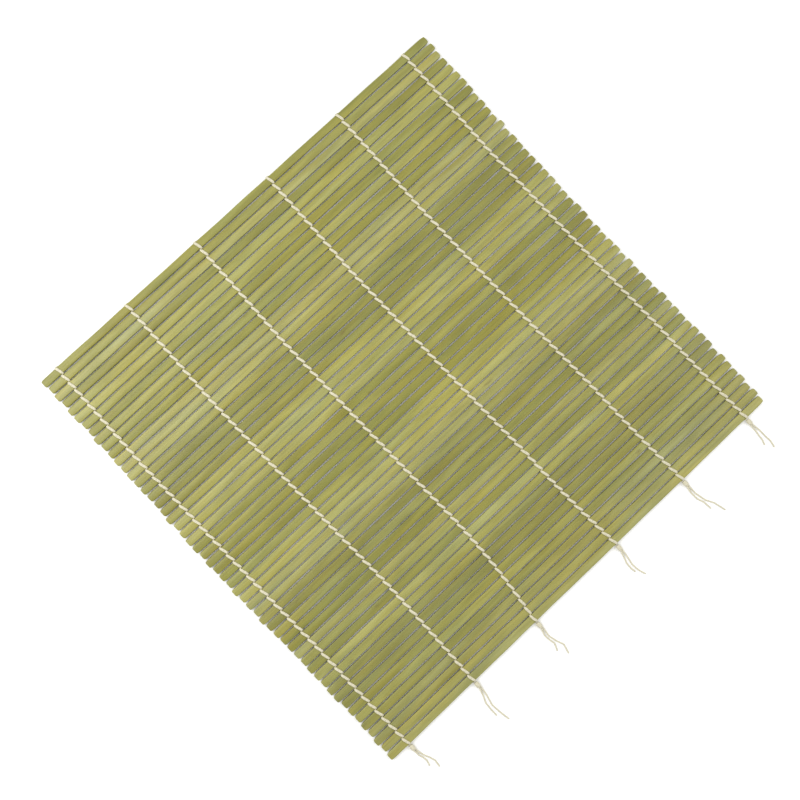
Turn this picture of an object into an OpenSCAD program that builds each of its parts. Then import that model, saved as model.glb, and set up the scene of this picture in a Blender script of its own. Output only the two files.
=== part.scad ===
// Sushi rolling mat: flat bamboo slats side by side, held in a row by lines of twined cotton thread.
// X runs along the slats, Y along the rolling direction and Z up.
// The origin is on the table, under the middle of the mat. Slat 1 is at the +Y edge.

/* [Slats] */
// Number of slats
slat_count = 53; // [21:2:53]
// Length of the longest slats
slat_len = 240; // [160:1:300]
// Width of one slat
slat_w = 3.94; // [3:0.01:8]
// Thickness of one slat
slat_t = 1.6; // [1.2:0.1:3]
// Gap between two slats
gap = 0.5; // [0.4:0.01:1.2]
// Radius of the long edges on the upper side
top_edge_r = 0.35; // [0.1:0.05:0.5]
// Radius of the long edges on the lower side
low_edge_r = 0.45; // [0.1:0.05:0.6]
// Length of the narrowed tip at each slat end
tip_len = 1.4; // [0.4:0.1:3]
// How much each side of a tip narrows
tip_nip = 0.55; // [0.2:0.05:0.9]
// How far the shortest slat ends stay back
fringe = 1; // [0:0.1:3]

/* [Thread] */
// Number of thread lines across the slats
line_count = 6; // [2:1:6]
// Distance from the left slat ends to the first line
margin_left = 9.7; // [6:0.1:30]
// Distance from the right slat ends to the last line
margin_right = 13.6; // [6:0.1:30]
// Width of a thread where it crosses a slat
thread_w = 1.2; // [0.8:0.05:1.6]
// Height of a thread above the slats
thread_over = 0.8; // [0.4:0.05:1.5]
// Height of a thread squeezed flat between a slat and the table
thread_under = 0.45; // [0.3:0.05:1]
// Width of a thread in a gap
thread_neck = 0.84; // [0.5:0.02:1]
// Thickness of a thread round the outer edge of the first slat
thread_edge = 0.7; // [0.4:0.05:1.2]
// Side step of a thread from the middle of its line in each gap
twist_step = 0.46; // [0.3:0.02:0.6]
// Room between a thread and a slat
slack = 0.07; // [0.03:0.01:0.09]

/* [Knots] */
// Length of a knot
knot_len = 2.6; // [1.5:0.1:5]
// Diameter of a knot
knot_d = 2.2; // [1.6:0.1:2.9]
// Distance from the last slat to the knots
knot_gap = 0.9; // [0.6:0.1:2]
// Diameter of a loose thread end
tail_d = 0.7; // [0.4:0.05:0.9]

/* [Hidden] */
pitch = slat_w + gap;
slat_z = slack + thread_under;
mid_z = slat_z + slat_t / 2;
top_z = slat_z + slat_t;
middle_slat = (slat_count + 1) / 2;
line_step = (slat_len - margin_left - margin_right) / (line_count - 1);
neck_t = gap - 2 * slack;

// Side sway of slats and lines along the mat, as [share of the way from slat 1, millimetres]
slat_sway = [[0, 0.8], [0.13, 0.4], [0.25, -0.2], [0.5, -0.7], [0.63, -0.6], [0.75, 0.4], [1, 0.1]];
line_sway = [[0, 0.7], [0.13, 0], [0.25, -0.8], [0.5, -0.3], [0.63, 0.2], [0.75, 0.8], [1, 0.3]];
// Where each line lies off its even spacing, and how far it drifts over the last slats
line_shift = [0, -0.8, -1.6, 0.2, 0.9, 0];
line_drift = [0.9, -0.8, -4.1, 2.2, 1.5, 1.1];
drift_from = 0.77;

// Route on the table of each line's longer loose end, as [side step, distance from the last slat].
// The shorter end of the pair lies beside it.
tail_routes = [
    [[0.8, 4], [2, 6.5], [3, 9.5], [2.6, 13]],
    [[-0.6, 4.5], [-1.9, 9.5], [-1.4, 15], [-0.6, 19.5]],
    [[-0.6, 5], [0.4, 9], [1.8, 12.5], [0.6, 17]],
    [[-0.4, 4], [-1.2, 8], [-0.8, 12], [0.4, 15.5]],
    [[0, 4.5], [1.2, 10], [3.4, 14], [5, 20]],
    [[0.8, 4.5], [0.8, 8], [1.1, 11.5], [0.4, 15]]
];
tail_short = 0.75;
tail_spread = 0.16;
tail_sides = 8;
tail_z = tail_d / 2 * cos(180 / tail_sides);

short_left = rands(0, fringe, slat_count, 11);
short_right = rands(0, fringe, slat_count, 23);

function two_digits(n) = n < 10 ? str("0", n) : str(n);
function slat_name(k) = str("slat_", two_digits(k));
function line_name(s) = str("thread_", s);

bamboo = "#a9a54a";
cotton = "#f2ecd2";

function slat_y(k) = (middle_slat - k) * pitch;
function share(k) = (k - 1) / (slat_count - 1);
function drift(s, k) = line_drift[s - 1] * pow(max(0, share(k) - drift_from) / (1 - drift_from), 2);
function line_x(s, k) = -slat_len / 2 + margin_left + (s - 1) * line_step
    + line_shift[s - 1] + lookup(share(k), line_sway) + drift(s, k);
// Middle of a line in the gap below slat k, where gap 0 is the outer edge of slat 1
function gap_x(s, k) = (line_x(s, max(k, 1)) + line_x(s, min(k + 1, slat_count))) / 2;

// Quarter circle round [y, z] with radius r, from angle a on
function corner(y, z, r, a) = [for (i = [0:3]) [y + r * cos(a + i * 30), z + r * sin(a + i * 30)]];

// Cross-section of a slat: flat above and below, with rounded long edges
module slat_profile() {
    half = slat_w / 2;
    polygon(concat(
        corner(half - top_edge_r, top_z - top_edge_r, top_edge_r, 0),
        corner(-half + top_edge_r, top_z - top_edge_r, top_edge_r, 90),
        corner(-half + low_edge_r, slat_z + low_edge_r, low_edge_r, 180),
        corner(half - low_edge_r, slat_z + low_edge_r, low_edge_r, 270)
    ));
}

// Outline of a slat from above: its ends narrow to blunt tips
module slat_outline(x0, x1) {
    half = slat_w / 2;
    tip = half - tip_nip;
    mid = half - tip_nip / 3;
    polygon([
        [x0, -tip], [x0 + tip_len / 3, -mid], [x0 + tip_len, -half],
        [x1 - tip_len, -half], [x1 - tip_len / 3, -mid], [x1, -tip],
        [x1, tip], [x1 - tip_len / 3, mid], [x1 - tip_len, half],
        [x0 + tip_len, half], [x0 + tip_len / 3, mid], [x0, tip]
    ]);
}

module slat(k) {
    sway = lookup(share(k), slat_sway);
    x0 = -slat_len / 2 + sway + short_left[k - 1];
    x1 = slat_len / 2 + sway - short_right[k - 1];
    color(bamboo)
        translate([0, slat_y(k), 0])
            intersection() {
                translate([x0, 0, 0])
                    rotate([90, 0, 90])
                        linear_extrude(x1 - x0)
                            slat_profile();
                linear_extrude(top_z + 1)
                    slat_outline(x0, x1);
            }
}

// One cross-section of a thread, from its lower face to its upper face
function ring(x, w, low, high) = [
    [x - w / 2, low[0], low[1]], [x + w / 2, low[0], low[1]],
    [x + w / 2, high[0], high[1]], [x - w / 2, high[0], high[1]]
];
function upside_down(r) = [r[3], r[2], r[1], r[0]];

// Thickness of a thread on one side of slat k, which is more where no other slat is beside it
function reach(k, side) = k == 1 && side > 0 ? thread_edge : neck_t;

// Three cross-sections of a thread over slat k, and three of a thread under it.
// In each gap one thread goes down on the right and the other comes up on the left.
function over(s, k) = let (
        y = slat_y(k),
        near = slat_w / 2 + slack,
        z = top_z + slack,
        up = thread_over * 0.6
    ) [
        ring(gap_x(s, k - 1) - twist_step, thread_neck, [y + near, z], [y + near + reach(k, 1), z + up]),
        ring(line_x(s, k), thread_w, [y, z], [y, z + thread_over]),
        ring(gap_x(s, k) + twist_step, thread_neck, [y - near, z], [y - near - reach(k, -1), z + up])
    ];
function under(s, k) = let (
        y = slat_y(k),
        near = slat_w / 2 + slack,
        z = slat_z - slack
    ) [
        ring(gap_x(s, k - 1) + twist_step, thread_neck, [y + near + reach(k, 1), 0], [y + near, z]),
        ring(line_x(s, k), thread_w, [y, 0], [y, z]),
        ring(gap_x(s, k) - twist_step, thread_neck, [y - near - reach(k, -1), 0], [y - near, z])
    ];

// Where the knots start
edge_y = slat_y(slat_count) - slat_w / 2;
knot_y = edge_y - knot_gap;
function knot_x(s) = gap_x(s, slat_count);

// A thread's last cross-section, where it goes into the knot
function into_knot(s, side) = let (
        z = mid_z + side * knot_d / 4,
        half = knot_d / 8
    ) ring(knot_x(s) + side * thread_neck / 4, thread_neck, [knot_y, z - half], [knot_y, z + half]);

// Solid through a list of cross-sections with the same number of corners
module sweep(rings) {
    n = len(rings[0]);
    last = len(rings) - 1;
    polyhedron(
        points = [for (r = rings) each r],
        faces = concat(
            [[for (i = [0:n - 1]) i]],
            [for (j = [0:last - 1], i = [0:n - 1])
                [j * n + i, (j + 1) * n + i, (j + 1) * n + (i + 1) % n]],
            [for (j = [0:last - 1], i = [0:n - 1])
                [j * n + i, (j + 1) * n + (i + 1) % n, j * n + (i + 1) % n]],
            [[for (i = [n - 1:-1:0]) last * n + i]]
        )
    );
}

// One thread, folded in half round slat 1. One half starts over slat 1 and the other under it,
// and they change places in every gap.
module thread(s) {
    first = [for (k = [1:slat_count]) each k % 2 == 1 ? over(s, k) : under(s, k)];
    second = [for (k = [1:slat_count]) each k % 2 == 1 ? under(s, k) : over(s, k)];
    start = [for (i = [len(first) - 1:-1:0]) upside_down(first[i])];
    color(cotton)
        sweep(concat([upside_down(into_knot(s, 1))], start, second, [into_knot(s, -1)]));
}

// Route of a loose end: out of the knot's flat end, down to the table and along it.
// The longer end is on side 1 and the shorter one on side -1.
function tail_path(s, side) = let (
        x = knot_x(s),
        y = knot_y - knot_len,
        start = x + side * (tail_d / 2 + slack),
        size = side > 0 ? 1 : tail_short
    ) concat(
        [[start, y, mid_z], [start, y - tail_d, (mid_z + tail_z) / 2]],
        [for (p = tail_routes[s - 1]) [
            start + size * (p[0] + (side - 1) / 2 * tail_spread * p[1]),
            y - size * (p[1] + tail_d),
            tail_z
        ]]
    );

function unit(v) = v / norm(v);

// Cross-sections of a round tube along a path. The first one is square to Y.
function tube(path, d, sides) = [for (i = [0:len(path) - 1]) let (
        ahead = i == 0 ? [0, -1, 0] : unit(path[min(i + 1, len(path) - 1)] - path[i - 1]),
        across = unit(cross([0, 0, 1], ahead)),
        up = cross(ahead, across)
    ) [for (j = [0:sides - 1]) let (a = 360 * (j + 0.5) / sides)
        path[i] + d / 2 * (cos(a) * across + sin(a) * up)]];

// The knot that ends each line, a rounded barrel with flat ends
module knot() {
    r = knot_d / 2;
    rotate([90, 0, 0])
        rotate_extrude($fn = 32)
            polygon([
                [0, 0], [0.8 * r, 0], [r, 0.25 * knot_len],
                [r, 0.75 * knot_len], [0.8 * r, knot_len], [0, knot_len]
            ]);
}

module knots_and_ends() {
    color(cotton)
        for (s = [1:line_count]) {
            translate([knot_x(s), knot_y, mid_z]) knot();
            for (side = [-1, 1])
                sweep(tube(tail_path(s, side), tail_d, tail_sides));
        }
}

for (k = [1:slat_count])
    slat(k);
for (s = [1:line_count])
    thread(s);
knots_and_ends();
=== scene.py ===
# Sushi rolling mat: the looks of its bamboo slats and twined cotton threads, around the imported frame.
import math
import random
import bpy
import numpy as np
from mathutils import Matrix, Vector


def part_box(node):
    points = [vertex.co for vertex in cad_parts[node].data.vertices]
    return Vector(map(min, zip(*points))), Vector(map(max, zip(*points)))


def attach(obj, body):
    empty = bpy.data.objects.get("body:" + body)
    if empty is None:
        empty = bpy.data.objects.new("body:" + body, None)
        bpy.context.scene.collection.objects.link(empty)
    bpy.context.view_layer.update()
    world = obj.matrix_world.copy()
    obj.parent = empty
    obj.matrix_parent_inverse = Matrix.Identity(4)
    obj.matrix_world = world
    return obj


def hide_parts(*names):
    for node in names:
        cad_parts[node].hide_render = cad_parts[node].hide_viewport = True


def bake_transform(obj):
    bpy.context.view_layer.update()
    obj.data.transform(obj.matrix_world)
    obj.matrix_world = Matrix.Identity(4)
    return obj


MM = 0.001

# Camera, looking down on the mat, which stands on its corner in the picture
LENS = 50
AIM = (-0.00497, -0.00033, 0.0)
DISTANCE = 0.5148
AZIMUTH = 275.74
TILT = 4.23
ROLL = 41.18

# Light: two soft lamps and an even glow all round, which add up to about 1 at the middle of the mat
LAMPS = (("main_lamp", (-0.24, 0.24, 0.42), 0.3, 0.36), ("side_lamp", (0.5, -0.2, 0.6), 0.5, 0.2))
GLOW = 0.46
FLOOR_LIFT = 0.45
FLOOR_REACH = 4 * MM

# Slats
SEED = 7
PALE_SLATS = (3, 5, 6, 9, 13, 14, 21, 22, 23, 30, 31, 32, 33, 42, 53)
DARK_SLATS = (4, 16, 17, 18, 19, 24, 26, 27, 28, 35, 37, 38, 41, 44, 45, 46)
EDGE_WAVE = 0.16 * MM
CROWN = 0.05 * MM
TOP_EDGE = 0.42 * MM
LOW_EDGE = 0.4 * MM
LEFT_TIP = (1.2 * MM, 2.4 * MM)
RIGHT_TIP = (2.6 * MM, 4.2 * MM)
TIP_NIP = (0.12 * MM, 0.42 * MM)
STATION_STEP = 3 * MM

# Thread
GAP_SIDE_STEP = 0.46 * MM
OVER_SIZE = (1.3 * MM, 0.8 * MM)
CORNER_SIZE = (1.1 * MM, 0.6 * MM)
GAP_SIZE = (0.95 * MM, 0.44 * MM)
UNDER_SIZE = (1.3 * MM, 0.46 * MM)
SIDES = 12
STEPS = 4
PLIES = 3
PLY_PITCH = 2.6 * MM
PLY_DEPTH = 0.1


def linear(r, g, b):
    """A colour given as 0 to 255 screen values, as Blender's linear numbers."""
    values = []
    for c in (r, g, b):
        c = c / 255
        values.append(c / 12.92 if c <= 0.04045 else ((c + 0.055) / 1.055) ** 2.4)
    return (*values, 1.0)


def add_camera():
    data = bpy.data.cameras.new("camera")
    data.lens = LENS
    data.clip_start = 0.01
    camera = bpy.data.objects.new("camera", data)
    bpy.context.scene.collection.objects.link(camera)
    turn = (
        Matrix.Rotation(math.radians(AZIMUTH), 4, "Z")
        @ Matrix.Rotation(math.radians(TILT), 4, "X")
        @ Matrix.Rotation(math.radians(ROLL), 4, "Z")
    )
    camera.matrix_world = Matrix.Translation(AIM) @ turn @ Matrix.Translation((0, 0, DISTANCE))
    bpy.context.scene.camera = camera


def add_lights():
    for name, place, size, level in LAMPS:
        lamp = bpy.data.lights.new(name, "AREA")
        lamp.size = size
        place = Vector(place)
        lamp.energy = level * math.pi**2 * place.length**3 / place.z
        holder = bpy.data.objects.new(name, lamp)
        bpy.context.scene.collection.objects.link(holder)
        holder.location = place
        holder.rotation_euler = (-place).to_track_quat("-Z", "Y").to_euler()
    world = bpy.data.worlds.new("world")
    world.use_nodes = True
    bpy.context.scene.world = world
    tree = world.node_tree
    background = tree.nodes["Background"]
    background.inputs["Color"].default_value = (1, 1, 1, 1)
    seen = white_where_seen(tree)
    strength = tree.nodes.new("ShaderNodeMapRange")
    strength.inputs["To Min"].default_value = GLOW
    strength.inputs["To Max"].default_value = 1.0
    tree.links.new(seen, strength.inputs["Value"])
    tree.links.new(strength.outputs["Result"], background.inputs["Strength"])


def white_where_seen(tree):
    """1 for what the camera sees, straight, mirrored or through glass, and 0 for what only gives light."""
    rays = tree.nodes.new("ShaderNodeLightPath")
    total = rays.outputs["Is Camera Ray"]
    for name in ("Is Glossy Ray", "Is Transmission Ray"):
        more = tree.nodes.new("ShaderNodeMath")
        more.operation = "MAXIMUM"
        tree.links.new(total, more.inputs[0])
        tree.links.new(rays.outputs[name], more.inputs[1])
        total = more.outputs[0]
    return total


def times(tree, value, factor):
    product = tree.nodes.new("ShaderNodeMath")
    product.operation = "MULTIPLY"
    tree.links.new(value, product.inputs[0])
    if isinstance(factor, float):
        product.inputs[1].default_value = factor
    else:
        tree.links.new(factor, product.inputs[1])
    return product.outputs[0]


def new_material(name, roughness):
    material = bpy.data.materials.new(name)
    material.use_nodes = True
    shader = material.node_tree.nodes["Principled BSDF"]
    shader.inputs["Roughness"].default_value = roughness
    return material, material.node_tree, shader


def add_floor():
    half = 2.0
    mesh = bpy.data.meshes.new("floor")
    mesh.from_pydata([(-half, -half, 0), (half, -half, 0), (half, half, 0), (-half, half, 0)], [], [(0, 1, 2, 3)])
    floor = bpy.data.objects.new("floor", mesh)
    bpy.context.scene.collection.objects.link(floor)
    material, tree, shader = new_material("floor", 0.9)
    shader.inputs["Base Color"].default_value = (0.9, 0.9, 0.9, 1)
    shader.inputs["Emission Color"].default_value = (1, 1, 1, 1)
    # Painted light: the floor glows where the camera sees it, and less where the slats hide the sky within
    # FLOOR_REACH, so the floor under the gaps and close round the mat stays darker.
    open_sky = tree.nodes.new("ShaderNodeAmbientOcclusion")
    open_sky.inputs["Distance"].default_value = FLOOR_REACH
    seen = times(tree, white_where_seen(tree), open_sky.outputs["AO"])
    tree.links.new(times(tree, seen, FLOOR_LIFT), shader.inputs["Emission Strength"])
    mesh.materials.append(material)


def stretched_noise(tree, scale, detail=4.0, roughness=0.55):
    """Noise in the mat's own coordinates, scaled apart along and across the slats."""
    place = tree.nodes.new("ShaderNodeTexCoord")
    stretch = tree.nodes.new("ShaderNodeMapping")
    stretch.inputs["Scale"].default_value = scale
    noise = tree.nodes.new("ShaderNodeTexNoise")
    noise.inputs["Scale"].default_value = 1.0
    noise.inputs["Detail"].default_value = detail
    noise.inputs["Roughness"].default_value = roughness
    tree.links.new(place.outputs["Object"], stretch.inputs["Vector"])
    tree.links.new(stretch.outputs["Vector"], noise.inputs["Vector"])
    return noise.outputs["Fac"]


def ramp(tree, value, low, high, to_low, to_high):
    part = tree.nodes.new("ShaderNodeMapRange")
    part.inputs["From Min"].default_value = low
    part.inputs["From Max"].default_value = high
    part.inputs["To Min"].default_value = to_low
    part.inputs["To Max"].default_value = to_high
    tree.links.new(value, part.inputs["Value"])
    return part.outputs["Result"]


def mixed(tree, share, a, b, blend="MIX"):
    mix = tree.nodes.new("ShaderNodeMix")
    mix.data_type = "RGBA"
    mix.blend_type = blend
    for value, socket in ((share, mix.inputs[0]), (a, mix.inputs[6]), (b, mix.inputs[7])):
        if isinstance(value, (tuple, float)):
            socket.default_value = value
        else:
            tree.links.new(value, socket)
    return mix.outputs[2]


def bamboo_material():
    material, tree, shader = new_material("bamboo", 0.42)
    tint = tree.nodes.new("ShaderNodeAttribute")
    tint.attribute_name = "tint"
    colour = tint.outputs["Color"]
    patches = stretched_noise(tree, (40, 330, 330), 3.0)
    hues = stretched_noise(tree, (26, 190, 190), 2.0)
    streaks = stretched_noise(tree, (18, 1500, 900))
    fibres = stretched_noise(tree, (90, 7000, 5000), 2.0)
    marks = stretched_noise(tree, (70, 240, 240), 4.0)
    for value, spread, dark, light in (
        (patches, 0.18, (0.84, 0.84, 0.76), (1.16, 1.16, 1.24)),
        (hues, 0.18, (0.95, 1.0, 1.2), (1.05, 1.0, 0.8)),
        (streaks, 0.2, (0.94, 0.93, 0.9), (1.06, 1.07, 1.1)),
        (fibres, 0.2, (0.95, 0.95, 0.93), (1.05, 1.05, 1.07)),
    ):
        tone = mixed(tree, ramp(tree, value, 0.5 - spread, 0.5 + spread, 0.0, 1.0), (*dark, 1), (*light, 1))
        colour = mixed(tree, 1.0, colour, tone, "MULTIPLY")
    colour = mixed(tree, ramp(tree, marks, 0.68, 0.8, 0.0, 0.6), colour, linear(112, 92, 48))
    tree.links.new(colour, shader.inputs["Base Color"])
    bump = tree.nodes.new("ShaderNodeBump")
    bump.inputs["Strength"].default_value = 0.2
    bump.inputs["Distance"].default_value = 0.0001
    tree.links.new(fibres, bump.inputs["Height"])
    tree.links.new(bump.outputs["Normal"], shader.inputs["Normal"])
    return material


def cotton_material():
    material, tree, shader = new_material("cotton", 0.9)
    shader.inputs["Sheen Weight"].default_value = 0.3
    lint = stretched_noise(tree, (5000, 5000, 5000), 3.0)
    colour = mixed(tree, ramp(tree, lint, 0.3, 0.7, 0.0, 1.0), linear(222, 212, 176), linear(250, 246, 222))
    tree.links.new(colour, shader.inputs["Base Color"])
    bump = tree.nodes.new("ShaderNodeBump")
    bump.inputs["Strength"].default_value = 0.4
    bump.inputs["Distance"].default_value = 0.0001
    tree.links.new(lint, bump.inputs["Height"])
    tree.links.new(bump.outputs["Normal"], shader.inputs["Normal"])
    return material


def add_mesh(name, points, faces, material, smooth=True):
    mesh = bpy.data.meshes.new(name)
    mesh.from_pydata([tuple(p) for p in points], [], faces)
    mesh.materials.append(material)
    mesh.polygons.foreach_set("use_smooth", [smooth] * len(mesh.polygons))
    made = bpy.data.objects.new(name, mesh)
    bpy.context.scene.collection.objects.link(made)
    return made


def tube_faces(rings, sides, first=0):
    """Faces of a closed tube through rings of points, with a fan of corners as each end."""
    faces = []
    for j in range(rings - 1):
        for i in range(sides):
            a = first + j * sides + i
            b = first + j * sides + (i + 1) % sides
            faces.append((a, b, b + sides, a + sides))
    faces.append(tuple(first + i for i in range(sides - 1, -1, -1)))
    faces.append(tuple(first + (rings - 1) * sides + i for i in range(sides)))
    return faces


def slat_names():
    return sorted(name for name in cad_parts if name.startswith("slat_"))


def thread_names():
    return sorted(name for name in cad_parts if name.startswith("thread_"))


def slat_tint(rng, number):
    """Base colour of a slat, between a dark olive and a pale straw green."""
    level = rng.uniform(0.25, 0.75)
    if number in PALE_SLATS:
        level = rng.uniform(0.75, 1.0)
    elif number in DARK_SLATS:
        level = rng.uniform(0.0, 0.25)
    grey = rng.uniform(-1, 1)
    dark = (143, 140, 62)
    pale = (174, 170, 96)
    red, green, blue = (a + (b - a) * level for a, b in zip(dark, pale))
    return linear(red, green, blue + 6 * grey)


def slat_profile(half, low, high):
    """Cross-section as (y, z), anticlockwise seen along +X."""
    points = []
    for cy, cz, r, start in (
        (half - TOP_EDGE, high - TOP_EDGE, TOP_EDGE, 0),
        (-half + TOP_EDGE, high - TOP_EDGE, TOP_EDGE, 90),
        (-half + LOW_EDGE, low + LOW_EDGE, LOW_EDGE, 180),
        (half - LOW_EDGE, low + LOW_EDGE, LOW_EDGE, 270),
    ):
        for i in range(4):
            a = math.radians(start + i * 30)
            points.append((cy + r * math.cos(a), cz + r * math.sin(a)))
        if start == 0:
            points.append((half * 0.3, high + CROWN))
            points.append((-half * 0.3, high + CROWN))
    return points


def slat_stations(x0, x1, left, right):
    """Places along a slat where its cross-section is drawn, closer together over its narrowed ends."""
    count = round((x1 - x0) / STATION_STEP)
    ends = [0, 0.04, 0.12, 0.3, 0.6]
    return (
        [x0 + left * e for e in ends]
        + [x0 + left + (x1 - x0 - left - right) * i / count for i in range(count + 1)]
        + [x1 - right * e for e in reversed(ends)]
    )


def make_slat(name, material, rng):
    number = int(name[-2:])
    low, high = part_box(name)
    half = (high.y - low.y) / 2
    middle = (high.y + low.y) / 2
    profile = slat_profile(half, low.z, high.z)
    left = rng.uniform(*LEFT_TIP)
    right = rng.uniform(*RIGHT_TIP)
    nips = [rng.uniform(*TIP_NIP) for _ in range(4)]
    phase = [rng.uniform(0, 6.3) for _ in range(4)]
    wave = [rng.uniform(0.03, 0.11) for _ in range(4)]
    points = []
    stations = slat_stations(low.x, high.x, left, right)
    for x in stations:
        at_left = max(0, 1 - (x - low.x) / left)
        at_right = max(0, 1 - (high.x - x) / right)
        inward = []
        for side in (0, 1):
            swing = math.sin(x / wave[side] * 6.3 + phase[side]) + 0.5 * math.sin(
                x / wave[side + 2] * 15 + phase[side + 2]
            )
            tip = nips[side] * at_left**1.6 + nips[side + 2] * at_right**1.6
            corner = 0.25 * MM * max(0, 1 - min(x - low.x, high.x - x) / (0.3 * MM)) ** 2
            inward.append(EDGE_WAVE * 0.33 * (1.5 - swing) + tip + corner)
        for y, z in profile:
            upper = (y / half + 1) / 2
            points.append((x, middle + y - inward[0] * upper + inward[1] * (1 - upper), z))
    slat = add_mesh(f"{name}_strip", points, tube_faces(len(stations), len(profile)), material)
    tint = slat.data.attributes.new("tint", "FLOAT_COLOR", "POINT")
    tint.data.foreach_set("color", list(slat_tint(rng, number)) * len(points))
    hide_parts(name)
    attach(slat, name)


def line_places(name, middles):
    """Where a thread line crosses each slat, as x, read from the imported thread."""
    points = np.array([v.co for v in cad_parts[name].data.vertices], float)
    return [points[abs(points[:, 1] - y) < 0.3 * MM, 0].mean() for y in middles]


def strand_points(over, x, x_before, x_after, y, step, half, low, high):
    """Control points of a strand across one slat, as (place, size), from the gap before it to its lower edge."""
    side = -GAP_SIDE_STEP if over else GAP_SIDE_STEP
    start = (x_before + x) / 2 + side
    end = (x_after + x) / 2 - side
    middle = (low + high) / 2
    way = 1 if over else -1
    size = OVER_SIZE if over else UNDER_SIZE
    corner = CORNER_SIZE if over else UNDER_SIZE
    face = high if over else low
    z = face + way * size[1] / 2
    z_corner = face + way * (corner[1] / 2 - 0.1 * MM)
    z_turn = face - way * 0.35 * MM
    return [
        ((start, y + step / 2, middle), GAP_SIZE),
        ((start, y + step / 2 - 0.03 * MM, z_turn), GAP_SIZE),
        ((start, y + half - 0.2 * MM, z_corner), corner),
        ((start * 0.6 + x * 0.4, y + half * 0.5, z), size),
        ((x, y, z), size),
        ((end * 0.6 + x * 0.4, y - half * 0.5, z), size),
        ((end, y - half + 0.2 * MM, z_corner), corner),
        ((end, y - step / 2 + 0.03 * MM, z_turn), GAP_SIZE),
    ]


def smooth_path(controls):
    """Catmull-Rom curve through the control points, with their sizes."""
    values = np.array([[*place, *size] for place, size in controls])
    values = np.vstack([2 * values[0] - values[1], values, 2 * values[-1] - values[-2]])
    made = []
    for i in range(1, len(values) - 2):
        a, b, c, d = values[i - 1 : i + 3]
        for step in range(STEPS):
            t = step / STEPS
            made.append(
                0.5 * (2 * b + (c - a) * t + (2 * a - 5 * b + 4 * c - d) * t**2 + (3 * b - a - 3 * c + d) * t**3)
            )
    made.append(values[-2])
    return np.array(made)


def strand_rings(path):
    """Rings of points round a path of (x, y, z, width, height), with the twist of its plies."""
    places = path[:, :3]
    ahead = np.gradient(places, axis=0)
    ahead /= np.linalg.norm(ahead, axis=1)[:, None]
    across = np.array([1.0, 0, 0]) - ahead * ahead[:, :1]
    across /= np.linalg.norm(across, axis=1)[:, None]
    up = np.cross(across, ahead)
    gone = np.concatenate([[0], np.cumsum(np.linalg.norm(np.diff(places, axis=0), axis=1))])
    angle = np.linspace(0, 2 * math.pi, SIDES, endpoint=False)[None, :]
    bulge = 1 + PLY_DEPTH * (np.abs(np.cos(PLIES / 2 * (angle - 2 * math.pi * gone[:, None] / PLY_PITCH))) - 0.7)
    wide = path[:, 3:4] / 2 * bulge * np.cos(angle)
    high = path[:, 4:5] / 2 * bulge * np.sin(angle)
    return places[:, None] + wide[..., None] * across[:, None] + high[..., None] * up[:, None]


def make_threads(material):
    slats = slat_names()
    boxes = [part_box(name) for name in slats]
    middles = [(low.y + high.y) / 2 for low, high in boxes]
    half = (boxes[0][1].y - boxes[0][0].y) / 2
    low, high = boxes[0][0].z, boxes[0][1].z
    step = middles[0] - middles[1]
    pieces = {}
    for line in thread_names():
        places = line_places(line, middles)
        before = [places[0]] + places[:-1]
        after = places[1:] + [places[-1]]
        for first in (True, False):
            controls = []
            marks = []
            for k, y in enumerate(middles):
                over = (k % 2 == 0) == first
                marks.append(len(controls) + 4)
                controls += strand_points(over, places[k], before[k], after[k], y, step, half, low, high)
            end = controls[-1]
            controls.append(((end[0][0], middles[-1] - half - 0.3 * MM, (low + high) / 2), GAP_SIZE))
            rings = strand_rings(smooth_path(controls))
            cuts = [0] + [m * STEPS for m in marks] + [len(rings) - 1]
            for part in range(len(cuts) - 1):
                pieces.setdefault(part, []).append(rings[cuts[part] : cuts[part + 1] + 1])
    for part, groups in pieces.items():
        points = []
        faces = []
        for rings in groups:
            faces += tube_faces(len(rings), SIDES, len(points))
            points += [tuple(p) for ring in rings for p in ring]
        twine = add_mesh(f"twine_{part:02d}", points, faces, material)
        if part == 0:
            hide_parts(*thread_names())
            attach(twine, slats[0])
        elif part == len(slats):
            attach(twine, slats[-1])
        else:
            y = middles[part - 1]
            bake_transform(twine)


def dress_knots(material):
    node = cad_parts["knots_and_ends"]
    node.data.materials.clear()
    node.data.materials.append(material)


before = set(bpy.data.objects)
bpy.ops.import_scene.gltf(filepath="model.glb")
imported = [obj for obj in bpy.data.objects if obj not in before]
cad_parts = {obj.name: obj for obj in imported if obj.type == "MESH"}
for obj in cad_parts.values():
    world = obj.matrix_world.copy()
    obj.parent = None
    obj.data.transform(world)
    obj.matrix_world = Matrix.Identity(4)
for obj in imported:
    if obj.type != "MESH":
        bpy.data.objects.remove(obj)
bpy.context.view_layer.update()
add_camera()
add_lights()
add_floor()
bamboo = bamboo_material()
cotton = cotton_material()
rng = random.Random(SEED)
for slat_name in slat_names():
    make_slat(slat_name, bamboo, rng)
make_threads(cotton)
dress_knots(cotton)
bpy.context.scene.view_settings.view_transform = "Standard"
